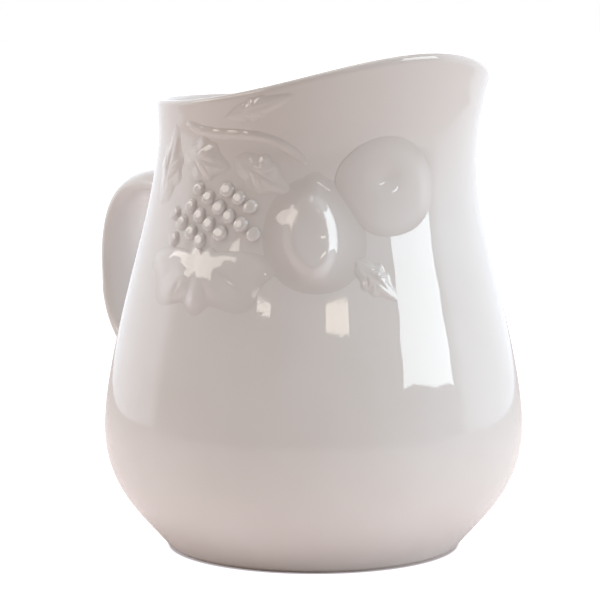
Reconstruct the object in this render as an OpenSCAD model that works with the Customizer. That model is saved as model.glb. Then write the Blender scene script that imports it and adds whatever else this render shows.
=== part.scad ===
// Ceramic pitcher: a thin-walled body with a round belly, a neck that leans out into a broad pouring
// lip, a strap handle luted on opposite the lip, and a band of applied fruit and leaves on each side.
// The origin is the middle of the foot on the table, +Z is up and +X points to the pouring lip.
// An angle is measured about +Z from the pouring lip; the right side is the -Y side.

/* [Body] */
// Height of the tip of the pouring lip
spout_h = 160; // [156:0.5:164]
// Height of the rim on the handle side
rim_h = 144.5; // [142:0.5:147]
// Outer radius of the foot
foot_r = 46.7; // [45.5:0.1:48]
// Largest radius of the belly
belly_r = 67.7; // [66:0.1:69]
// Height of the widest part of the belly
belly_z = 39.3; // [37:0.1:42]
// Radius of the neck at its narrowest
neck_r = 48.6; // [47.5:0.1:49.5]
// Height of the narrowest part of the neck
neck_z = 136; // [134:0.5:138]
// Distance from the axis to the tip of the pouring lip
spout_reach = 58.5; // [56:0.5:61]
// Height above which the neck leans out towards the lip
lean_z = 102; // [99:1:105]
// Thickness of the wall
wall_t = 3.5; // [3:0.1:4]
// Height of the inside floor above the table
floor_z = 6; // [5:0.5:8]
// Width of the unglazed ring that the foot stands on
foot_ring_w = 4; // [3:0.5:6]

/* [Handle] */
// Distance from the axis to the middle of the grip
grip_reach = 107; // [104:0.5:109]
// Height of the grip's outermost point
grip_z = 79; // [76:1:82]
// Height of the upper root on the neck
upper_root_z = 105; // [103:0.5:108]
// Height of the lower root on the belly
lower_root_z = 40; // [38:0.5:43]
// Width of the strap
strap_w = 17.5; // [15:0.5:19]
// Thickness of the strap
strap_t = 10; // [8.5:0.5:11]
// How far the slip fillets at the roots spread over the wall
fillet_w = 2.6; // [2:0.1:3.2]

/* [Relief] */
// Height of the plum above the wall
plum_h = 4.6; // [3.6:0.2:5.6]
// Height of the apple above the wall
apple_h = 2.4; // [2:0.1:3.2]
// Radius of a grape
berry_r = 2.1; // [1.8:0.1:2.2]
// Height of the leaves above the wall
leaf_h = 1.4; // [1.1:0.1:1.8]
// Radius of the vine's stem
stem_r = 1; // [0.8:0.1:1.2]
// How far the left side's band is turned from the right side's
band_turn = 158; // [154:1:162]

/* [Quality] */
// Facets around the body
columns = 72; // [60:6:84]
// Layer of slip between the wall and an applied piece
slip_t = 0.08; // [0.07:0.01:0.12]

/* [Hidden] */
RELIEF = ["plum", "apple", "grapes", "vine_leaf", "rear_leaf", "crown_leaf", "upper_leaf",
    "middle_leaf", "tip_leaf", "stem"];
SIDES = ["right", "left"];

glaze = "#efeae6";
glaze_shade = "#e6dfdb";
glaze_warm = "#ece3dc";

rim_r = neck_r - 0.3;
lip_r = wall_t / 2;
foot_recess = 1.2;
lean_power = 1.1;
rise_power = 4.2;
nudge = 0.2;

// ---- curves ----

// A point on the cubic Bezier through the four points of p
function bezier(p, t) =
    pow(1 - t, 3) * p[0] + 3 * pow(1 - t, 2) * t * p[1] + 3 * (1 - t) * t * t * p[2] + pow(t, 3) * p[3];
// The direction of that curve, with length
function bezier_slope(p, t) =
    3 * (pow(1 - t, 2) * (p[1] - p[0]) + 2 * (1 - t) * t * (p[2] - p[1]) + t * t * (p[3] - p[2]));
// The curve's parameter at height z, by Newton's method
function bezier_at(p, z, t = 0.5, steps = 7) =
    steps == 0 ? t : bezier_at(p, z, t - (bezier(p, t)[1] - z) / bezier_slope(p, t)[1], steps - 1);

function unit(v) = v / norm(v);
function clamp(x) = max(0, min(1, x));

// ---- the body's profile, as points [radius, height] ----

low_curve = [[foot_r, 0], [foot_r + 6.5, 9.2], [belly_r, 0.46 * belly_z], [belly_r, belly_z]];
high_curve = [[belly_r, belly_z], [belly_r, belly_z + 24.6], [neck_r, neck_z - 16.6], [neck_r, neck_z]];
rim_curve = [[neck_r, neck_z], [neck_r, neck_z + 2], [rim_r, rim_h - lip_r - 2], [rim_r, rim_h - lip_r]];

// A point of a profile curve moved in by the wall's thickness
function inner(p, t) = let (s = unit(bezier_slope(p, t))) bezier(p, t) - wall_t * [s[1], -s[0]];

floor_start = inner(low_curve, 0.45);
floor_curve = [floor_start, floor_start - 9 * unit(bezier_slope(low_curve, 0.45)),
    [floor_start[0] - 8, floor_z], [30, floor_z]];

section = concat(
    [for (i = [0:9]) bezier(low_curve, 0.03 + 0.97 * i / 9)],
    [for (i = [1:14]) bezier(high_curve, i / 14)],
    [for (i = [1:2]) bezier(rim_curve, i / 2)],
    [for (i = [1:5]) [rim_r - lip_r + lip_r * cos(30 * i), rim_h - lip_r + lip_r * sin(30 * i)]],
    [for (i = [2:-1:1]) inner(rim_curve, i / 2)],
    [for (i = [12:-1:1]) inner(high_curve, i / 12)],
    [for (i = [5:-1:1]) inner(low_curve, 0.45 + 0.55 * i / 5)],
    [for (i = [0:5]) bezier(floor_curve, i / 5)]);

// The foot ring, which the wall stands on: it reaches up into the floor, and its edges are eased
ring_top = foot_recess + 1.5;
ring_section = [[foot_r - foot_ring_w - 1.4, ring_top], [foot_r - foot_ring_w - 1.4, foot_recess],
    [foot_r - foot_ring_w, 0], [foot_r - 1.1, 0], [foot_r - 0.4, 0.35], [foot_r + 0.2, 1],
    [foot_r + 0.2, ring_top]];

// ---- the wall: the profile turned about the axis and leaned out towards the lip ----

function lean(z) = pow(clamp((z - lean_z) / (rim_h - lean_z)), 2);
function towards_lip(a) = (1 + cos(a)) / 2;
// The point at angle a of the profile point p
function turned(p, a) =
    let (r = p[0] + (spout_reach - rim_r) * pow(towards_lip(a), lean_power) * lean(p[1]))
    [r * cos(a), r * sin(a), p[1] + (spout_h - rim_h) * pow(towards_lip(a), rise_power) * lean(p[1])];

function outer_r(z) =
    z < belly_z ? bezier(low_curve, bezier_at(low_curve, z))[0]
    : z < neck_z ? bezier(high_curve, bezier_at(high_curve, z))[0]
    : neck_r;
function wall(a, z) = turned([outer_r(z), z], a);
function wall_normal(a, z) =
    unit(cross(wall(a + nudge, z) - wall(a - nudge, z), wall(a, z + nudge) - wall(a, z - nudge)));
// How many mm up and down, and round the axis, one unit of the wall's height and angle measures at a place
function scale_up(at) =
    (wall(at[0], at[1] + nudge)[2] - wall(at[0], at[1] - nudge)[2]) / (2 * nudge);
function scale_round(at) = norm([wall(at[0], at[1])[0], wall(at[0], at[1])[1]]) * PI / 180;
// The point u mm to the right of and v mm above the place [angle, height], h mm proud of the wall
function on_wall(at, u, v, h) =
    let (a = at[0] + u / scale_round(at), z = at[1] + v / scale_up(at))
    wall(a, z) + h * wall_normal(a, z);

// ---- solids from rings of points ----

// A closed solid through a stack of rings, with a point over each end
module skin(rings, first, last) {
    n = len(rings[0]);
    m = len(rings);
    points = concat([first], [for (ring = rings) each ring], [last]);
    sides = [for (k = [0:m - 2]) for (j = [0:n - 1])
        let (a = 1 + k * n + j, b = 1 + k * n + (j + 1) % n)
        each [[a, b, b + n], [a, b + n, a + n]]];
    ends = [for (j = [0:n - 1]) let (k = (j + 1) % n, top = 1 + (m - 1) * n)
        each [[0, 1 + k, 1 + j], [m * n + 1, top + j, top + k]]];
    polyhedron(points, concat(sides, ends), convexity = 10);
}

// ---- body ----

module body() {
    angles = [for (j = [0:columns - 1]) -j * 360 / columns];
    color(glaze) {
        skin([for (p = section) [for (a = angles) turned(p, a)]], [0, 0, foot_recess], [0, 0, floor_z]);
        rotate_extrude($fn = 96) polygon(ring_section);
    }
}

// ---- handle: a strap swept along a curve in the XZ plane ----

upper_curve = [[-52, upper_root_z], [-grip_reach - 7, upper_root_z + 25], [-grip_reach, grip_z + 4],
    [-grip_reach, grip_z]];
lower_curve = [[-grip_reach, grip_z], [-grip_reach, grip_z - 23.5], [-84, lower_root_z + 9],
    [-66, lower_root_z]];

strap_sides = 20;
strap_curves = [upper_curve, lower_curve];
// A station is [curve, parameter]; the two roots are cut to the wall, a little inside the strap's ends
upper_root = [0, 0.02];
upper_start = [0, 0.045];
lower_start = [1, 0.9];
lower_root = [1, 0.97];
upper_steps = 16;
lower_steps = 11;
stations = concat(
    [for (i = [0:upper_steps]) upper_start + (1 - upper_start[1]) * [0, i / upper_steps]],
    [for (i = [1:lower_steps]) [1, lower_start[1] * i / lower_steps]]);

// The strap's section: an oval, flatter on the side that the fingers touch; g grows it
function strap_point(s, c, g = 0) =
    let (
        along = unit(bezier_slope(strap_curves[s[0]], s[1])),
        p = bezier(strap_curves[s[0]], s[1]),
        n = (strap_t / 2 + g) * cos(c) * (cos(c) < 0 ? 0.8 : 1) * (1 - 0.12 * pow(sin(c), 2)))
    [p[0] + n * along[1], (strap_w / 2 + g) * sin(c), p[1] - n * along[0]];

// The wall point level with q on the handle's side, held off by a gap
function onto_wall(q, gap) =
    [-sqrt(pow(outer_r(q[2]) + gap, 2) - q[1] * q[1]), q[1], q[2]];

function strap_ring(s, g = 0) = [for (j = [0:strap_sides - 1]) strap_point(s, j * 360 / strap_sides, g)];
function root_ring(s, g, gap) = [for (q = strap_ring(s, g)) onto_wall(q, gap)];

function middle(ring) = [for (q = ring) 1] * ring / len(ring);

module handle() {
    first = root_ring(upper_root, 0, slip_t);
    last = root_ring(lower_root, 0, slip_t);
    color(glaze)
        skin(concat([first], [for (s = stations) strap_ring(s)], [last]),
            onto_wall(middle(first), slip_t), onto_wall(middle(last), slip_t));
}

// A concave bead of slip round the handle's root, between the strap and the wall
module root_fillet(root, inboard) {
    steps = 5;
    foot = root_ring(root, fillet_w, slip_t);
    heel = root_ring(root, slip_t, slip_t);
    top = strap_ring(inboard, slip_t);
    bead = [for (i = [0:steps]) let (w = i / steps)
        [for (j = [0:strap_sides - 1])
            let (bow = pow(1 - w, 2), rise = pow(w, 2), mid = 1 - bow - rise)
            bow * foot[j] + mid * heel[j] + rise * top[j]]];
    rings = concat(bead, [heel]);
    n = strap_sides;
    m = len(rings);
    points = [for (ring = rings) each ring];
    faces = [for (k = [0:m - 1]) for (j = [0:n - 1])
        let (a = k * n + j, b = k * n + (j + 1) % n, c = ((k + 1) % m) * n + j,
            d = ((k + 1) % m) * n + (j + 1) % n)
        each [[a, b, d], [a, d, c]]];
    color(glaze_shade) polyhedron(points, faces, convexity = 6);
}

module upper_root_fillet() { root_fillet(upper_root, upper_start); }
module lower_root_fillet() { root_fillet(lower_root, lower_start); }

// ---- applied pieces: a domed patch on the wall ----

// reach(c) is the outline's distance from the middle in direction c, and rise(s, c) the height at the
// share s of that distance; both are function literals
module patch(at, reach, rise, sides, rings) {
    back = 3;
    function spot(s, c, h) = on_wall(at, s * reach(c) * cos(c), s * reach(c) * sin(c), h);
    directions = [for (j = [0:sides - 1]) -j * 360 / sides];
    skin(concat(
            [for (k = [1:back]) [for (c = directions) spot(k / back, c, slip_t)]],
            [for (k = [rings:-1:1]) [for (c = directions) spot(k / rings, c, rise(k / rings, c))]]),
        on_wall(at, 0, 0, slip_t), on_wall(at, 0, 0, rise(0, 0)));
}

edge_h = 0.5;
// Height of a dome h high whose edge stands edge_h proud
function dome(s, h) = edge_h + (h - edge_h) * sqrt(max(0, 1 - s * s));
// 1 at direction c0, falling smoothly to 0 at w degrees away from it
function near_angle(c, c0, w) =
    let (d = abs(((c - c0) % 360 + 540) % 360 - 180)) d < w ? (1 + cos(180 * d / w)) / 2 : 0;
// Outline of an ellipse turned by tilt
function oval(c, rx, ry, tilt) = rx * ry / norm([ry * cos(c - tilt), rx * sin(c - tilt)]);

// Each piece's middle on the right side, as [angle, height]
plum_at = [-39, 104.8];
apple_at = [-14.5, 117];
bunch_at = [-75, 110];
vine_leaf_at = [-76, 95.4];
rear_leaf_at = [-99, 124];
crown_leaf_at = [-80, 127];
upper_leaf_at = [-58, 139.6];
middle_leaf_at = [-57, 122.6];
tip_leaf_at = [-20.5, 92.5];

module plum(turn) {
    reach = function (c) oval(c, 14, 15.8, 12) * (1 + 0.1 * near_angle(c, 88, 18));
    color(glaze_warm) patch(plum_at + turn, reach, function (s, c) dome(s, plum_h), 32, 5);
}

module apple(turn) {
    reach = function (c) oval(c, 14.2, 12.4, 0) * (1 - 0.2 * near_angle(c, 208, 60));
    dimple = function (s, c) 0.7 * exp(-pow(norm([s * cos(c), s * sin(c) - 0.36]) / 0.22, 2));
    color(glaze_warm)
        patch(apple_at + turn, reach, function (s, c) dome(s, apple_h) - dimple(s, c), 32, 5);
}

// Grapes: rows of round berries, each standing on the wall
bunch_first = [-5.6, 8.4];
bunch_step = [4.2, -2.5];
bunch_row = [-2.8, -5.3];
// First and last berry of each row, from the top of the bunch down
bunch_rows = [[2, 4], [0, 5], [0, 3], [-1, 2], [0, 0]];

module grapes(turn) {
    for (r = [0:len(bunch_rows) - 1]) for (k = [bunch_rows[r][0]:bunch_rows[r][1]]) {
        spot = bunch_first + k * bunch_step + (r - 1) * bunch_row;
        p = on_wall(bunch_at + turn, spot[0], spot[1], slip_t);
        n = unit(on_wall(bunch_at + turn, spot[0], spot[1], 1 + slip_t) - p);
        color(glaze_shade)
            translate(p)
                rotate([0, acos(n[2]), atan2(n[1], n[0])])
                    difference() {
                        translate([0, 0, 0.25 * berry_r]) sphere(r = berry_r, $fn = 48);
                        translate([0, 0, -2 * berry_r]) cube(4 * berry_r, center = true);
                    }
    }
}

// Outline of a leaf: a lens from stalk to tip with toothed sides
function lens(c, length, width, tilt) =
    let (d = c - tilt, x = abs(cos(d)), y = abs(sin(d)))
    1 / (pow(pow(2 * x / length, 1.15) + pow(2 * y / width, 1.15), 1 / 1.15)) * (1 + 0.06 * cos(9 * d));
// A midrib pressed into the leaf along its length
function ribbed(s, c, tilt) =
    dome(s, leaf_h) - 0.45 * (1 - s) * exp(-pow(s * sin(c - tilt) / 0.16, 2));

module leaf(at, length, width, tilt) {
    color(glaze_shade)
        patch(at, function (c) lens(c, length, width, tilt), function (s, c) ribbed(s, c, tilt), 32, 3);
}

// The broad leaf under the grapes: five lobes to the sides and below, cut short under the berries
module vine_leaf(turn) {
    reach = function (c) oval(c, 21.6, sin(c) > 0 ? 4.6 : 11.2, 0) * (1 + 0.12 * cos(7 * (c + 90)));
    rise = function (s, c) dome(s, leaf_h) - 0.4 * s * (1 - s) * (1 - cos(7 * (c + 90)));
    color(glaze_shade) patch(vine_leaf_at + turn, reach, rise, 42, 4);
}

module rear_leaf(turn) { leaf(rear_leaf_at + turn, 22, 12, 72); }
module crown_leaf(turn) { leaf(crown_leaf_at + turn, 17, 12, -14); }
module upper_leaf(turn) { leaf(upper_leaf_at + turn, 20, 6, 8); }
module middle_leaf(turn) { leaf(middle_leaf_at + turn, 18, 10, -32); }
module tip_leaf(turn) { leaf(tip_leaf_at + turn, 15, 8, -44); }

// The vine's stem, a half-round cord that wanders along the wall above the fruit
module stem(turn) {
    curve = [for (p = [[-88, 138], [-72, 130.5], [-57, 138], [-41, 124.4]]) p + turn];
    sides = 8;
    lengths = 14;
    function station(i) = bezier(curve, i / lengths);
    function ring(i) =
        let (p = station(i), s = bezier_slope(curve, i / lengths), d = unit([s[0] * PI / 180 * neck_r, s[1]]),
            size = stem_r * (1.1 - 0.35 * i / lengths))
        [for (j = [0:sides - 1]) let (c = -j * 180 / (sides - 1))
            on_wall(p, size * cos(c) * -d[1], size * cos(c) * d[0], slip_t - 1.3 * size * sin(c))];
    color(glaze_warm)
        skin([for (i = [0:lengths]) ring(i)], middle(ring(0)), middle(ring(lengths)));
}

// ---- the two bands of relief ----

// One piece of the band; turn is added to its place on the wall
module relief(piece, turn) {
    if (piece == "plum") plum(turn);
    if (piece == "apple") apple(turn);
    if (piece == "grapes") grapes(turn);
    if (piece == "vine_leaf") vine_leaf(turn);
    if (piece == "rear_leaf") rear_leaf(turn);
    if (piece == "crown_leaf") crown_leaf(turn);
    if (piece == "upper_leaf") upper_leaf(turn);
    if (piece == "middle_leaf") middle_leaf(turn);
    if (piece == "tip_leaf") tip_leaf(turn);
    if (piece == "stem") stem(turn);
}

body();
handle();
upper_root_fillet();
lower_root_fillet();
for (piece = RELIEF) relief(piece, [0, 0]);
for (piece = RELIEF) relief(piece, [band_turn, 0]);
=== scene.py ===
"""A glazed white ceramic pitcher with bands of applied fruit and leaves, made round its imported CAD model.

Shapes are worked out in millimetres, and make_piece() turns them into metres. An angle is in degrees about
+Z from the pouring lip, and a place on the wall is [angle, height], its height measured on the handle's
side, where the lip's rise doesn't reach.
"""

import math
import random

import bmesh
import bpy
import numpy as np
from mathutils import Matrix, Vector


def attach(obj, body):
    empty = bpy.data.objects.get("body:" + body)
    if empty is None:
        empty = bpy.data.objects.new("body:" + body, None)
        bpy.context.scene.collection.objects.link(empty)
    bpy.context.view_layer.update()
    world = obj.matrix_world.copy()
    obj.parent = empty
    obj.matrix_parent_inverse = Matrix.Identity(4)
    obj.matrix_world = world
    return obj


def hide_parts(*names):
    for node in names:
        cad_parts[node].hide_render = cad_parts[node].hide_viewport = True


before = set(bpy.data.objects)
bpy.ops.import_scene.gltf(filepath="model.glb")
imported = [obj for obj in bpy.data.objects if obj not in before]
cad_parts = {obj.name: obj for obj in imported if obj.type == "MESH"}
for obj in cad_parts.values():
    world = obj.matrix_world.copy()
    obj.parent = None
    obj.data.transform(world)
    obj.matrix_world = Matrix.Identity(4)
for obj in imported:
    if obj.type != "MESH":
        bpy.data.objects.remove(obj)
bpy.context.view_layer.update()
MM = 0.001
BODY = "root"


# ---- dimensions ----

def cad_points(node):
    """The corners of a CAD node's mesh, in mm."""
    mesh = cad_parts[node].data
    flat = np.empty(len(mesh.vertices) * 3)
    mesh.vertices.foreach_get("co", flat)
    return flat.reshape(-1, 3) / MM


shell = cad_points("body")
rear = shell[(abs(shell[:, 1]) < 0.01) & (shell[:, 0] < 0)]
spout_h = shell[:, 2].max()
rim_h = rear[:, 2].max()
belly_r = -rear[:, 0].min()
belly_z = rear[rear[:, 0].argmin(), 2]

# What the CAD meshes don't give, as in the CAD model
foot_r = 46.7
neck_r, neck_z = 48.6, 136.0
rim_r = neck_r - 0.3
spout_reach = 58.5
lean_z, lean_power, rise_power = 102.0, 1.1, 4.2
wall_t = 3.5
lip_r = wall_t / 2
floor_z = 6.0
foot_recess = 1.2
foot_ring_w = 4.0
strap_w, strap_t = 17.5, 10.0
grip_reach, grip_z = 107.0, 79.0
upper_root_z, lower_root_z = 105.0, 40.0
fillet_w = 2.6
berry_r, stem_r = 2.1, 1.0
band_turn = 158.0

# The relief's height once the glaze has rounded it off
plum_h, apple_h, leaf_h = 4.6, 1.7, 1.2
# How far a piece's thin edge dips under the wall's skin
edge_dip = 0.06
# How far the wavy wall lies inside the CAD wall on average, and the radius within which the waves die out
wave_t, calm_r = 0.098, 20


# ---- curves ----

def bezier(p, t):
    """Points on the cubic Bezier through the four points of p."""
    p = np.asarray(p, float)
    t = np.asarray(t, float)[..., None]
    return (1 - t)**3 * p[0] + 3 * (1 - t)**2 * t * p[1] + 3 * (1 - t) * t * t * p[2] + t**3 * p[3]


def bezier_slope(p, t):
    """The curve's direction, with length."""
    p = np.asarray(p, float)
    t = np.asarray(t, float)[..., None]
    return 3 * ((1 - t)**2 * (p[1] - p[0]) + 2 * (1 - t) * t * (p[2] - p[1]) + t * t * (p[3] - p[2]))


def unit(v):
    return v / np.linalg.norm(v, axis=-1, keepdims=True)


def smooth(x, lo, hi):
    """0 below lo, 1 above hi, and a smooth step between."""
    x = np.clip((x - lo) / (hi - lo), 0, 1)
    return x * x * (3 - 2 * x)


def soft_floor(h, k):
    """h where it is high and 0 where it is far below 0, with a hollow fillet about k wide between."""
    return np.where(h > 20 * k, h, k * np.log1p(np.exp(np.minimum(h, 20 * k) / k)))


# ---- the wall ----

low_curve = [[foot_r, 0], [foot_r + 6.5, 9.2], [belly_r, 0.46 * belly_z], [belly_r, belly_z]]
high_curve = [[belly_r, belly_z], [belly_r, belly_z + 24.6], [neck_r, neck_z - 16.6], [neck_r, neck_z]]
rim_curve = [[neck_r, neck_z], [neck_r, neck_z + 2], [rim_r, rim_h - lip_r - 2], [rim_r, rim_h - lip_r]]


def inner(p, t):
    """Points of a profile curve moved in by the wall's thickness."""
    s = unit(bezier_slope(p, t))
    return bezier(p, t) - wall_t * np.stack([s[..., 1], -s[..., 0]], -1)


steps = np.linspace(0, 1, 400)
outer_table = np.concatenate([bezier(c, steps) for c in (low_curve, high_curve, rim_curve)])


def outer_r(z):
    return np.interp(z, outer_table[:, 1], outer_table[:, 0])


def unevenness(a, z):
    """The slight waves that casting, fettling and glazing leave in the wall, in mm and never outwards. Below
    the fruit on the lip's side a finer ripple joins them."""
    a = np.radians(a)
    ripple = 0.008 * np.sin(36 * a + z / 2.4) * smooth(np.cos(a), 0.92, 0.98) * (1 - smooth(z, 90, 103))
    return (ripple - wave_t + 0.030 * np.sin(2 * a + z / 23 + 0.6) + 0.022 * np.sin(3 * a - z / 14 + 1.9)
            + 0.020 * np.sin(6 * a + z / 9 + 4.0) + 0.014 * np.sin(11 * a - z / 9))


def turned(r, z, a):
    """The point at angle a of the profile point (r, z), leaned out towards the lip."""
    lean = np.clip((z - lean_z) / (rim_h - lean_z), 0, 1)**2
    towards_lip = (1 + np.cos(np.radians(a))) / 2
    out = r + (spout_reach - rim_r) * towards_lip**lean_power * lean
    out = out + unevenness(a, z) * np.minimum(r / calm_r, 1)
    up = z + (spout_h - rim_h) * towards_lip**rise_power * lean
    return np.stack(np.broadcast_arrays(out * np.cos(np.radians(a)), out * np.sin(np.radians(a)), up), -1)


def wall(a, z):
    return turned(outer_r(z), z, a)


# Degrees or mm to each side of a point when a slope is taken there
nudge = 0.2


def wall_normal(a, z):
    across = wall(a + nudge, z) - wall(a - nudge, z)
    return unit(np.cross(across, wall(a, z + nudge) - wall(a, z - nudge)))


def wall_scale(at):
    """How many mm one degree round the wall and one mm of height come to at a place."""
    here = wall(at[0], at[1])
    rise = wall(at[0], at[1] + nudge)[2] - wall(at[0], at[1] - nudge)[2]
    return np.array([math.hypot(here[0], here[1]) * math.pi / 180, rise / (2 * nudge)])


def on_wall(at, u, v, h):
    """The points u mm to the right of and v mm above the place at, h mm proud of the wall."""
    scale_round, scale_up = wall_scale(at)
    a, z = at[0] + u / scale_round, at[1] + v / scale_up
    return wall(a, z) + np.asarray(h)[..., None] * wall_normal(a, z)


# ---- meshes ----

def make_piece(name, parts, material):
    """One piece from closed parts, each (points in mm, faces, how hollow each point lies from 0 to 1). It
    rides on the body and replaces its CAD node, whose name it has with _glazed behind."""
    points, faces, hollow = [], [], []
    for part_points, part_faces, part_hollow in parts:
        faces += [[len(points) + i for i in face] for face in part_faces]
        points += (part_points * MM).tolist()
        hollow += list(part_hollow)
    mesh = bpy.data.meshes.new(name)
    mesh.from_pydata(points, [], faces)
    # The hollow attribute darkens the glaze: glaze pooling and painted shade in hollows
    mesh.attributes.new("hollow", "FLOAT", "POINT").data.foreach_set("value", hollow)
    work = bmesh.new()
    work.from_mesh(mesh)
    bmesh.ops.recalc_face_normals(work, faces=work.faces)
    for face in work.faces:
        face.smooth = True
    work.to_mesh(mesh)
    work.free()
    mesh.materials.append(material)
    piece = bpy.data.objects.new(name, mesh)
    bpy.context.scene.collection.objects.link(piece)
    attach(piece, BODY)
    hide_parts(name.removesuffix("_glazed"))


def ring_faces(count, size, start=0, closed=False):
    """The quads between each of count rings of size points and the next, and from the last to the first."""
    faces = []
    for k in range(count if closed else count - 1):
        for j in range(size):
            a, b = start + k * size + j, start + k * size + (j + 1) % size
            c = start + ((k + 1) % count) * size + j
            d = start + ((k + 1) % count) * size + (j + 1) % size
            faces.append([a, b, d, c])
    return faces


def skin(rings, first, last, hollow=None):
    """A closed part over rings of points, with a point over each end."""
    count, size = rings.shape[:2]
    points = np.concatenate([[first], rings.reshape(-1, 3), [last]])
    faces = ring_faces(count, size, 1)
    top = 1 + (count - 1) * size
    for j in range(size):
        k = (j + 1) % size
        faces.append([0, 1 + k, 1 + j])
        faces.append([len(points) - 1, top + j, top + k])
    if hollow is None:
        hollow = np.zeros(len(points))
    return points, faces, hollow


# ---- the body ----

def body_profile():
    """The section [radius, height] from the middle of the foot, up the outside and down the inside."""
    ring_in = foot_r - foot_ring_w
    foot = [[20, foot_recess - 0.2], [ring_in - 2, foot_recess - 0.42], [ring_in - 1.2, 0.72],
            [ring_in - 0.9, 0.4], [ring_in - 0.4, 0.1], [ring_in + 0.1, 0], [foot_r - 1.3, 0],
            [foot_r - 0.8, 0.1], [foot_r - 0.5, 0.38], [foot_r - 0.38, 0.62], [foot_r - 0.15, 0.6],
            [foot_r + 0.05, 0.72]]
    floor_start = inner(low_curve, 0.45)
    floor_curve = [floor_start, floor_start - 9 * unit(bezier_slope(low_curve, 0.45)),
                   [floor_start[0] - 8, floor_z], [30, floor_z]]
    lip = np.radians(np.linspace(0, 180, 19))
    return np.concatenate([
        foot,
        bezier(low_curve, np.linspace(0.045, 1, 50)),
        bezier(high_curve, np.linspace(0, 1, 90)[1:]),
        bezier(rim_curve, np.linspace(0, 1, 9)[1:]),
        np.stack([rim_r - lip_r + lip_r * np.cos(lip), rim_h - lip_r + lip_r * np.sin(lip)], -1)[1:-1],
        inner(rim_curve, np.linspace(1, 0, 9)),
        inner(high_curve, np.linspace(1, 0, 60)[1:]),
        inner(low_curve, np.linspace(1, 0.45, 20)[1:]),
        bezier(floor_curve, np.linspace(0, 1, 18)[1:]),
        [[20, floor_z], [8, floor_z]]])


def make_body(material):
    profile = body_profile()
    angles = np.linspace(0, 360, 288, endpoint=False)
    rings = turned(profile[:, :1], profile[:, 1:], angles[None, :])
    part = skin(rings, [0, 0, foot_recess], [0, 0, floor_z])
    make_piece("body_glazed", [part], material)


# ---- the handle ----

upper_curve = [[-52, upper_root_z], [-grip_reach - 7, upper_root_z + 25], [-grip_reach, grip_z + 4],
               [-grip_reach, grip_z]]
lower_curve = [[-grip_reach, grip_z], [-grip_reach, grip_z - 23.5], [-84, lower_root_z + 9],
               [-66, lower_root_z]]
UPPER_ROOT, UPPER_START = (upper_curve, 0.02), (upper_curve, 0.045)
LOWER_ROOT, LOWER_START = (lower_curve, 0.97), (lower_curve, 0.9)
strap_turns = np.linspace(0, 360, 64, endpoint=False)


def strap_ring(station, grow=0.0):
    """The strap's section at a station: an oval, flatter on the side that the fingers touch."""
    curve, t = station
    along, middle = unit(bezier_slope(curve, t)), bezier(curve, t)
    c, s = np.cos(np.radians(strap_turns)), np.sin(np.radians(strap_turns))
    n = (strap_t / 2 + grow) * c * np.where(c < 0, 0.8, 1) * (1 - 0.12 * s**2)
    return np.stack([middle[0] + n * along[1], (strap_w / 2 + grow) * s, middle[1] - n * along[0]], -1)


def onto_wall(ring, gap):
    """A ring's points moved level along X to gap mm outside the wall on the handle's side."""
    y, z = ring[:, 1], ring[:, 2]
    a = 180 - np.degrees(np.arcsin(y / outer_r(z)))
    return np.stack([-np.sqrt((outer_r(z) + unevenness(a, z) + gap)**2 - y**2), y, z], -1)


def make_handle(material):
    buried = 1.5
    first, last = onto_wall(strap_ring(UPPER_ROOT), -buried), onto_wall(strap_ring(LOWER_ROOT), -buried)
    stations = [(upper_curve, t) for t in np.linspace(UPPER_START[1], 1, 70)]
    stations += [(lower_curve, t) for t in np.linspace(0, LOWER_START[1], 50)[1:]]
    rings = [first, onto_wall(strap_ring(UPPER_ROOT), 0)] + [strap_ring(s, -0.05) for s in stations]
    rings += [onto_wall(strap_ring(LOWER_ROOT), 0), last]
    part = skin(np.array(rings), first.mean(0), last.mean(0))
    make_piece("handle_glazed", [part], material)


def make_root_fillet(name, root, inboard, material):
    """A concave bead of slip round a root. Its edges slide under the wall's skin and under the strap's."""
    foot = onto_wall(strap_ring(root, fillet_w), 0.01)
    heel = onto_wall(strap_ring(root, 0), 0.05)
    top = strap_ring(inboard, -0.04)
    further = (inboard[0], inboard[1] + 0.25 * (inboard[1] - root[1]))
    rings = [onto_wall(strap_ring(root, fillet_w + 0.8), -0.12)]
    across = np.linspace(0, 1, 21)
    for w in across:
        rings.append((1 - w)**2 * foot + 2 * w * (1 - w) * heel + w * w * top)
    rings.append(strap_ring(further, -0.16))
    rings.append(strap_ring(further, -0.6))
    rings.append(onto_wall(strap_ring(root, -0.3), -0.7))
    rings.append(onto_wall(strap_ring(root, fillet_w + 0.6), -0.7))
    points = np.concatenate(rings)
    faces = ring_faces(len(rings), len(strap_turns), closed=True)
    depth = np.concatenate([[0], np.sin(math.pi * across), np.zeros(len(rings) - len(across) - 1)])
    hollow = np.repeat(depth, len(strap_turns))
    make_piece(name + "_glazed", [(points, faces, hollow)], material)


# ---- applied pieces: domed patches that melt into the wall ----

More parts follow.
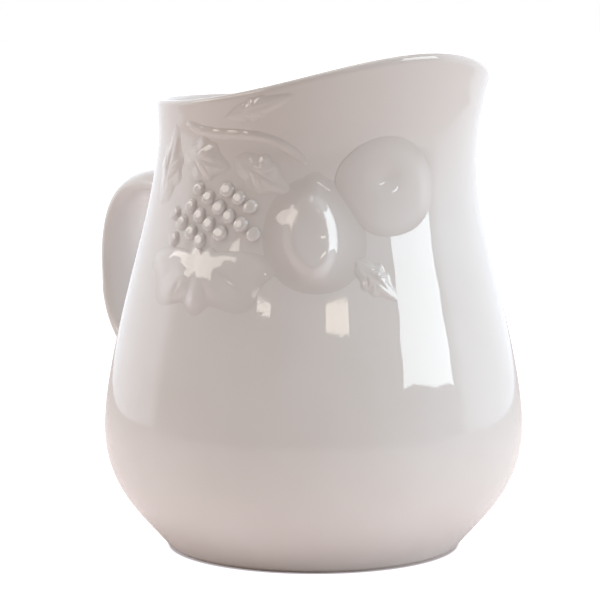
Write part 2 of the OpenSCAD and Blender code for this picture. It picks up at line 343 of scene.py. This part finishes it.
def patch(at, reach, rise, directions=120, rings=34, skirt=0.22, depth=0.9):
    """A closed patch on the wall. reach(c) is the outline's distance from the middle in direction c, and
    rise(s, x, y) gives the height and the hollowness at share s of it, x mm right and y mm up. Its front
    goes on for the share skirt beyond the outline, and its back lies depth mm inside the wall."""
    c = np.radians(np.linspace(0, 360, directions, endpoint=False))
    out = reach(c)
    shares = (1 + skirt) * np.sin(np.linspace(math.pi / 2, 0.03, rings))
    s = shares[:, None] + 0 * out
    x, y = s * out * np.cos(c), s * out * np.sin(c)
    h, hollow = rise(s, x, y)
    front = on_wall(at, x, y, h - edge_dip)
    back = np.array([0.35, 0.7, 1 + skirt])[:, None] + 0 * out
    x, y = back * out * np.cos(c), back * out * np.sin(c)
    behind = on_wall(at, x, y, 0 * x - depth)
    zero = np.zeros(1)
    middle, middle_hollow = rise(zero, zero, zero)
    back_hollow = np.ones(1 + 3 * directions)
    hollow = np.concatenate([back_hollow, np.clip(hollow, 0, 1).ravel(), np.clip(middle_hollow, 0, 1)])
    return skin(np.concatenate([behind, front]), on_wall(at, 0, 0, -depth),
                on_wall(at, 0, 0, middle[0] - edge_dip), hollow)


def near_angle(c, c0, width):
    """1 at the direction c0 in degrees, falling smoothly to 0 at width degrees away."""
    d = abs((np.degrees(c) - c0 + 180) % 360 - 180)
    return np.where(d < width, (1 + np.cos(np.pi * d / width)) / 2, 0)


def oval(c, rx, ry, tilt):
    """Outline of an ellipse turned by tilt."""
    return rx * ry / np.hypot(ry * np.cos(c - math.radians(tilt)), rx * np.sin(c - math.radians(tilt)))


def low_lying(h, top):
    """How hollow a point lies, from its height over the wall."""
    return 1 - smooth(h, 0.0, 0.45 * top)


# The middle of each applied piece on the right side
PLACES = {
    "plum": (-39, 104.8),
    "apple": (-14.5, 117),
    "grapes": (-75, 110),
    "vine_leaf": (-76, 95.4),
    "rear_leaf": (-99, 124),
    "crown_leaf": (-80, 127),
    "upper_leaf": (-58, 139.6),
    "middle_leaf": (-57, 122.6),
    "tip_leaf": (-20.5, 92.5),
}


def place(piece, turn):
    return np.array(PLACES[piece]) + [turn, 0]


def plum(turn):
    """The big fruit: a flat crown, a short steep shoulder, gentler sides with a hollow foot, a small tip."""
    def reach(c):
        return oval(c, 14.0, 15.8, 12) * (1 + 0.07 * near_angle(c, 88, 16))

    def rise(s, x, y):
        c = np.arctan2(y, x)
        crown = oval(c, 5.0, 9.5, 4) - 1.2 * np.cos(c)
        past = s * reach(c) - crown
        shoulder = 1.0 * (1 - smooth(past, -0.2, 3.4))
        side = (plum_h - 2) * (1 - soft_floor(past, 0.8) / (reach(c) - crown))
        h = soft_floor(shoulder + side - 0.2, 0.4)
        return h, low_lying(h, plum_h) * 0.8
    return patch(place("plum", turn), reach, rise, directions=144, rings=52)


def apple(turn):
    """The round fruit: its stalk's dimple near the top, with a rolled rim round it."""
    def reach(c):
        return oval(c, 14.2, 12.4, 0) * (1 - 0.2 * near_angle(c, 208, 60))

    def rise(s, x, y):
        away = np.hypot(x / 4.2, (y - 4.2) / 3.2)
        dimple = 0.5 * np.exp(-away**2) - 0.12 * np.exp(-((away - 1.9) / 0.7)**2)
        h = soft_floor((apple_h - 0.5) * (1 - s**3.4), 0.8) - dimple * np.clip(1.2 - s, 0, 1)
        return h, low_lying(h, apple_h) * 0.8 + 0.3 * np.exp(-away**2)
    return patch(place("apple", turn), reach, rise, directions=144, rings=48)


# A berry's place in the bunch, the step to the next one in its row, and the step to the next row, in mm
bunch_first, bunch_step, bunch_row = np.array([-5.6, 8.4]), np.array([4.2, -2.5]), np.array([-2.8, -5.3])
# First and last berry of each row, from the top of the bunch down
bunch_rows = [(2, 4), (0, 5), (0, 3), (-1, 2), (0, 0)]


def grapes(turn):
    """Berries in slanting rows, each with its own size, melted together at the foot by the glaze."""
    at = place("grapes", turn)
    shaky = random.Random(7)
    berries = []
    for r, (first, last) in enumerate(bunch_rows):
        for k in range(first, last + 1):
            spot = bunch_first + k * bunch_step + (r - 1) * bunch_row
            spot = spot + [shaky.uniform(-0.25, 0.25), shaky.uniform(-0.25, 0.25)]
            size = berry_r * shaky.uniform(1.0, 1.12)
            berries.append(berry(at, spot, size, shaky.uniform(20, 80)))
    return berries


def berry(at, spot, size, tilt):
    """One berry at spot, a little longer than wide and proudest at its lower end, as it hangs."""
    tall, hang = 0.62 * size, 0.13 + 0.006 * spot[1]

    def rise(s, x, y):
        h = soft_floor(tall * (1 - s**7) - hang * y, 0.2)
        return h, low_lying(h, tall)

    def reach(c):
        return oval(c, 1.12 * size, 0.98 * size, tilt)
    return patch(at + spot / wall_scale(at), reach, rise, directions=36, rings=16, skirt=0.3, depth=0.7)


def lens(c, length, width):
    """Outline of a leaf from stalk to tip, with softly toothed sides."""
    x, y = abs(np.cos(c)), abs(np.sin(c))
    bow = ((2 * x / length)**1.3 + (2 * y / width)**1.3)**(1 / 1.3)
    return (1 + 0.07 * np.cos(7 * c)) / bow


def leaf(at, length, width, tilt):
    """A leaf with a midrib, side veins and an edge that rises and falls."""
    turn = math.radians(tilt)

    def reach(c):
        return lens(c - turn, length, width)

    def rise(s, x, y):
        along = x * math.cos(turn) + y * math.sin(turn)
        across = -x * math.sin(turn) + y * math.cos(turn)
        inside = np.clip(1 - s**3, 0, 1)
        midrib = 0.35 * np.exp(-(across / 1.0)**2)
        vein = (0.5 + 0.5 * np.cos(2 * np.pi * (along - 1.1 * abs(across)) / (0.24 * length)))**3
        vein = 0.2 * vein * smooth(abs(across), 0.4, 2)
        curl = 0.35 * np.sin(along / length * 7 + np.sign(across) * 0.8) * np.tanh(abs(across) / 2)
        h = soft_floor(leaf_h * (1.1 - s**2), 0.4) + (curl - midrib - vein) * inside
        return h, low_lying(h, leaf_h) * 0.7 + (midrib + vein) * inside
    return patch(at, reach, rise, directions=132, rings=40)


def vine_leaf(turn):
    """The broad leaf under the grapes: lobes to the sides and below, veins out to each from the stalk."""
    lobes = np.radians([-150, -118, -62, -30])
    stalk_y, fold_x = 3.4, -2.5

    def reach(c):
        below = np.where(np.sin(c) > 0, 4.9, 11.4)
        return oval(c, 21.6, below, 0) * (1 + 0.12 * np.cos(7 * (c + math.pi / 2)))

    def rise(s, x, y):
        inside = np.clip(1 - s**3, 0, 1)
        across, up = x - fold_x, y - stalk_y
        fold = 0.2 * np.exp(-(across / 1.8)**2)
        veins = 0
        for lobe in lobes:
            off = abs(across * math.sin(lobe) - up * math.cos(lobe))
            ahead = across * math.cos(lobe) + up * math.sin(lobe)
            veins = veins + np.exp(-(off / 1.0)**2) * smooth(ahead, 8, 13)
        veins = 0.25 * np.minimum(veins, 1)
        puff = 0.15 * np.cos(9 * np.arctan2(up, across) + 0.6) * smooth(np.hypot(across, up), 9, 15)
        facet = 0.6 + 0.1 * np.clip(4.6 - y, 0, 8.5) * (1 - smooth(across, 6, 12)) - 0.01 * abs(across)
        h = soft_floor(facet * (1.1 - s**(3 + 5 * smooth(y, -2, 2))), 0.4) + (puff - veins - fold) * inside
        return h, low_lying(h, leaf_h) * 0.7 + veins * inside
    return patch(place("vine_leaf", turn), reach, rise, directions=200, rings=48)


# Length and width in mm, and the tilt
LEAVES = {
    "rear_leaf": (22, 12, 72),
    "crown_leaf": (17, 12, -14),
    "upper_leaf": (20, 6, 8),
    "middle_leaf": (18, 10, -32),
    "tip_leaf": (15, 8, -44),
}


def stem(turn):
    """The vine's stem: a half-round cord that wanders over the wall and thins to its end."""
    places = [np.array(p) + [turn, 0] for p in ([-88, 138], [-72, 130.5], [-57, 138], [-41, 124.4])]
    lengths = 90
    across = np.linspace(-2.1, 2.1, 21)
    fronts, hollows = [], []
    for t in np.linspace(0, 1, lengths):
        at, slope = bezier(places, t), bezier_slope(places, t)
        d = unit(np.array([slope[0] * math.pi / 180 * neck_r, slope[1]]))
        end = math.sqrt(max(0.0, 1 - (2 * t - 1)**8))
        size = 1.3 * stem_r * (1.15 - 0.35 * t) * (0.25 + 0.75 * end)
        knots = 1 + 0.15 * math.sin(46 * t)
        h = soft_floor(0.45 * size * knots * (1 - across**2), 0.3) * end
        u, v = -across * size * d[1], across * size * d[0]
        over, under = on_wall(at, u, v, h - edge_dip), on_wall(at, u[::-1], v[::-1], 0 * h - 0.8)
        fronts.append(np.concatenate([over, under]))
        hollows.append(np.concatenate([low_lying(h, 1.4 * stem_r), np.ones(len(across))]))
    rings = np.array(fronts)
    hollow = np.concatenate([[1], np.array(hollows).ravel(), [1]])
    return skin(rings, rings[0].mean(0), rings[-1].mean(0), hollow)


def make_band(side, turn, material):
    """The relief on one side, each applied piece an object of its own."""
    parts = {"plum": [plum(turn)], "apple": [apple(turn)], "grapes": grapes(turn),
             "vine_leaf": [vine_leaf(turn)], "stem": [stem(turn)]}
    for name, (length, width, tilt) in LEAVES.items():
        parts[name] = [leaf(place(name, turn), length, width, tilt)]
    for name, pieces in parts.items():
        make_piece(f"{side}_{name}_glazed", pieces, material)


# ---- materials ----

# Heights that the glaze line on the foot ring lies between, and that the painted shade towards the rim
# deepens between, in mm
GLAZE_LINE, RIM_SHADE_Z = (0.42, 0.56), (105, 138)
# Distances from the axis that the table's glow dies away between, in metres
FADE = (0.2, 0.45)


def new_material(name):
    material = bpy.data.materials.new(name)
    material.use_nodes = True
    nodes = material.node_tree.nodes
    return material, nodes, material.node_tree.links, nodes["Principled BSDF"]


def noise_at(nodes, links, coords, size_mm, detail=2.0):
    """Noise whose features are about size_mm across."""
    node = nodes.new("ShaderNodeTexNoise")
    node.inputs["Scale"].default_value = 1 / (size_mm * MM)
    node.inputs["Detail"].default_value = detail
    links.new(coords, node.inputs["Vector"])
    return node.outputs["Fac"]


def spread(nodes, links, value, lo, hi, from_lo=0.3, from_hi=0.7):
    """value from from_lo..from_hi to lo..hi."""
    node = nodes.new("ShaderNodeMapRange")
    node.inputs["From Min"].default_value = from_lo
    node.inputs["From Max"].default_value = from_hi
    node.inputs["To Min"].default_value = lo
    node.inputs["To Max"].default_value = hi
    links.new(value, node.inputs["Value"])
    return node.outputs["Result"]


def math_node(nodes, links, operation, a, b):
    node = nodes.new("ShaderNodeMath")
    node.operation = operation
    for socket, value in zip(node.inputs, (a, b)):
        if isinstance(value, (int, float)):
            socket.default_value = value
        else:
            links.new(value, socket)
    return node.outputs["Value"]


def mix_colour(nodes, links, factor, a, b):
    node = nodes.new("ShaderNodeMix")
    node.data_type = "RGBA"
    links.new(factor, node.inputs["Factor"])
    for socket, value in ((node.inputs["A"], a), (node.inputs["B"], b)):
        if isinstance(value, tuple):
            socket.default_value = (*value, 1)
        else:
            links.new(value, socket)
    return node.outputs["Result"]


def glaze(name, hollow_share):
    """Clear glaze over a white body. In hollows it is painted warmer and darker, partly for the glaze pooling
    there and partly as painted shade, and towards the rim it is painted darker and warmer as painted shade.
    Its colour drifts a little over the wall, its skin has a faint orange peel, and it stops short of the
    ground foot ring."""
    material, nodes, links, shader = new_material(name)
    coords = nodes.new("ShaderNodeTexCoord").outputs["Object"]
    attribute = nodes.new("ShaderNodeAttribute")
    attribute.attribute_name = "hollow"
    pool_and_painted_shade = math_node(nodes, links, "MULTIPLY", attribute.outputs["Fac"], hollow_share)

    white, warm = (0.74, 0.725, 0.715), (0.715, 0.695, 0.68)
    drift = spread(nodes, links, noise_at(nodes, links, coords, 34), 0, 1)
    colour = mix_colour(nodes, links, drift, white, warm)
    height = nodes.new("ShaderNodeSeparateXYZ")
    links.new(coords, height.inputs["Vector"])
    # Painted shade: the glaze is painted darker and warmer towards the rim
    rim_shade = spread(nodes, links, height.outputs["Z"], 0, 1, RIM_SHADE_Z[0] * MM, RIM_SHADE_Z[1] * MM)
    colour = mix_colour(nodes, links, rim_shade, colour, (0.70, 0.66, 0.635))
    # Painted shade in hollows, together with the glaze pooling there: warmer and darker where the hollow
    # attribute is high
    colour = mix_colour(nodes, links, pool_and_painted_shade, colour, (0.60, 0.565, 0.54))

    bare = spread(nodes, links, height.outputs["Z"], 1, 0, GLAZE_LINE[0] * MM, GLAZE_LINE[1] * MM)
    grain = noise_at(nodes, links, coords, 0.25, 4)
    clay = mix_colour(nodes, links, grain, (0.66, 0.62, 0.56), (0.76, 0.72, 0.66))
    colour = mix_colour(nodes, links, bare, colour, clay)
    links.new(colour, shader.inputs["Base Color"])

    gloss = spread(nodes, links, noise_at(nodes, links, coords, 9), 0.02, 0.04)
    rough = math_node(nodes, links, "MAXIMUM", gloss, math_node(nodes, links, "MULTIPLY", bare, 0.8))
    links.new(rough, shader.inputs["Roughness"])

    peel = noise_at(nodes, links, coords, 2.4, 1)
    bump = nodes.new("ShaderNodeBump")
    bump.inputs["Strength"].default_value = 1
    bump.inputs["Distance"].default_value = 0.005 * MM
    links.new(peel, bump.inputs["Height"])
    tooth = nodes.new("ShaderNodeBump")
    tooth.inputs["Distance"].default_value = 0.06 * MM
    links.new(bare, tooth.inputs["Strength"])
    links.new(grain, tooth.inputs["Height"])
    links.new(bump.outputs["Normal"], tooth.inputs["Normal"])
    links.new(tooth.outputs["Normal"], shader.inputs["Normal"])
    shader.inputs["IOR"].default_value = 1.52
    return material


def paper(name, colour, glow, shadow, far_glow):
    """A matt pale stage surface that glows. Its glow is nothing at the foot, a painted contact shadow, and is
    full shadow mm from it, and it falls to the share far_glow of that across FADE."""
    material, nodes, links, shader = new_material(name)
    coords = nodes.new("ShaderNodeTexCoord").outputs["Object"]
    fibre = noise_at(nodes, links, coords, 3, 3)
    darker = tuple(0.98 * c for c in colour)
    links.new(mix_colour(nodes, links, fibre, colour, darker), shader.inputs["Base Color"])
    shader.inputs["Roughness"].default_value = 1
    shader.inputs["Specular IOR Level"].default_value = 0
    shader.inputs["Emission Color"].default_value = (*colour, 1)
    away = nodes.new("ShaderNodeVectorMath")
    away.operation = "LENGTH"
    links.new(coords, away.inputs[0])
    # Painted contact shadow: no glow at the foot, rising to full glow shadow mm out
    glow_past_painted_shadow = spread(nodes, links, away.outputs["Value"], 0, glow, foot_r * MM, (foot_r + shadow) * MM)
    fade = spread(nodes, links, away.outputs["Value"], 1, far_glow, *FADE)
    links.new(math_node(nodes, links, "MULTIPLY", glow_past_painted_shadow, fade), shader.inputs["Emission Strength"])
    return material


# ---- the studio: camera, floor, lights ----

camera_azimuth = math.radians(51)
camera_distance, camera_height = 0.839, 0.1814
aim_height, aim_left = 0.0795, 0.00436
# The height that the windows' elevations are taken from
window_base = 0.08
TO_CAMERA = Vector((math.sin(camera_azimuth), -math.cos(camera_azimuth), 0))
TO_RIGHT = Vector((math.cos(camera_azimuth), math.sin(camera_azimuth), 0))


def make_camera():
    data = bpy.data.cameras.new("camera")
    data.sensor_width, data.lens = 36, 157.1
    camera = bpy.data.objects.new("camera", data)
    bpy.context.scene.collection.objects.link(camera)
    camera.location = TO_CAMERA * camera_distance + Vector((0, 0, camera_height))
    aim = Vector((0, 0, aim_height)) - TO_RIGHT * aim_left
    camera.rotation_euler = (aim - camera.location).to_track_quat("-Z", "Y").to_euler()
    bpy.context.scene.camera = camera


def make_floor():
    """A white floor for the camera, and the same plane again as the paler grey that the glaze mirrors."""
    # Both floors carry a painted contact shadow round the foot, 1 mm wide on the white floor and 20 mm on the
    # pale table
    white = paper("white_floor", (0.9, 0.9, 0.9), 0.9, 1, 1)
    pale = paper("pale_table", (0.78, 0.705, 0.69), 0.39, 20, 0)
    for name, material, size in (("floor", white, 12), ("floor_bounce", pale, 1.3)):
        bpy.ops.mesh.primitive_plane_add(size=size, location=(0, 0, 0))
        plane = bpy.context.object
        plane.name = name
        plane.data.materials.append(material)
        shown = name == "floor"
        plane.visible_camera = shown
        plane.visible_diffuse = plane.visible_glossy = not shown
        plane.visible_shadow = not shown


def make_softbox(name, spot, aim, size, radiance, colour, roll=0):
    """A rectangular light at spot that faces aim, seen by the glaze but not by the camera."""
    data = bpy.data.lights.new(name, "AREA")
    data.shape = "RECTANGLE"
    data.size, data.size_y = size
    data.energy = radiance * math.pi * data.size * data.size_y
    data.color = colour
    light = bpy.data.objects.new(name, data)
    bpy.context.scene.collection.objects.link(light)
    light.location = spot
    light.rotation_euler = (aim - spot).to_track_quat("-Z", "Y").to_euler()
    light.rotation_euler.rotate_axis("Z", math.radians(roll))
    light.visible_camera = False


def make_window(name, azimuths, elevations, radiance, distance, colour, roll=0):
    """An upright softbox between two azimuths, in degrees to the right of the camera, and two elevations."""
    middle, half = math.radians(sum(azimuths) / 2), math.radians(azimuths[1] - azimuths[0]) / 2
    out = TO_CAMERA * math.cos(middle) + TO_RIGHT * math.sin(middle)
    low, high = (distance * math.tan(math.radians(e)) for e in elevations)
    level = Vector((0, 0, window_base + (low + high) / 2))
    size = 2 * distance * math.tan(half), high - low
    make_softbox(name, out * distance + level, level, size, radiance, colour, roll)


def make_world():
    """White all round for the camera. For the glaze it is a bright backdrop behind the pitcher and a dim room
    in front, with a paler ceiling."""
    world = bpy.data.worlds.new("studio")
    bpy.context.scene.world = world
    world.use_nodes = True
    nodes, links = world.node_tree.nodes, world.node_tree.links
    nodes.clear()
    coords = nodes.new("ShaderNodeTexCoord").outputs["Generated"]
    facing = nodes.new("ShaderNodeVectorMath")
    facing.operation = "DOT_PRODUCT"
    facing.inputs[1].default_value = 0.05 * TO_RIGHT - TO_CAMERA
    links.new(coords, facing.inputs[0])
    behind = spread(nodes, links, facing.outputs["Value"], 0, 1, -0.02, 0.14)
    height = nodes.new("ShaderNodeSeparateXYZ")
    links.new(coords, height.inputs["Vector"])
    above = spread(nodes, links, height.outputs["Z"], 0, 1, 0.4, 0.9)
    low = spread(nodes, links, height.outputs["Z"], 1, 0, 0.45, 0.75)
    light = mix_colour(nodes, links, above, ROOM, CEILING)
    backed = math_node(nodes, links, "MULTIPLY", behind, low)
    light = mix_colour(nodes, links, backed, light, BACKDROP)
    seen = nodes.new("ShaderNodeLightPath").outputs["Is Camera Ray"]
    colour = mix_colour(nodes, links, seen, light, (1, 1, 1))
    background = nodes.new("ShaderNodeBackground")
    links.new(colour, background.inputs["Color"])
    output = nodes.new("ShaderNodeOutputWorld")
    links.new(background.outputs["Background"], output.inputs["Surface"])


DAYLIGHT, LAMPLIGHT, CANDLELIGHT = (0.86, 0.96, 1), (0.97, 0.91, 0.83), (1, 0.91, 0.74)
ROOM, CEILING, BACKDROP = (0.09, 0.055, 0.045), (0.3, 0.26, 0.24), (1.22, 1.27, 1.36)

make_camera()
make_floor()
make_world()
make_window("window", (53, 85), (8, 32), 7.1, 1.6, DAYLIGHT, -7)
make_window("far_window", (-35, -26.5), (18.98, 19.76), 7.0, 2.0, LAMPLIGHT, 4)
make_window("lamp", (7.8, 21.5), (18.45, 20.6), 6.4, 2.0, CANDLELIGHT, -2)
make_window("left_window", (-110, -50), (20.5, 34), 4.6, 1.8, LAMPLIGHT)
make_softbox("overhead", Vector((0, 0, 1.3)), Vector((0, 0, 0)), (1.0, 1.0), 1.95, (0.95, 0.97, 1))

white_glaze = glaze("white_glaze", 0.5)
relief_glaze = glaze("relief_glaze", 0.55)
make_body(white_glaze)
make_handle(white_glaze)
make_root_fillet("upper_root_fillet", UPPER_ROOT, UPPER_START, white_glaze)
make_root_fillet("lower_root_fillet", LOWER_ROOT, LOWER_START, white_glaze)
make_band("right", 0, relief_glaze)
make_band("left", band_turn, relief_glaze)

bpy.context.scene.view_settings.view_transform = "Standard"
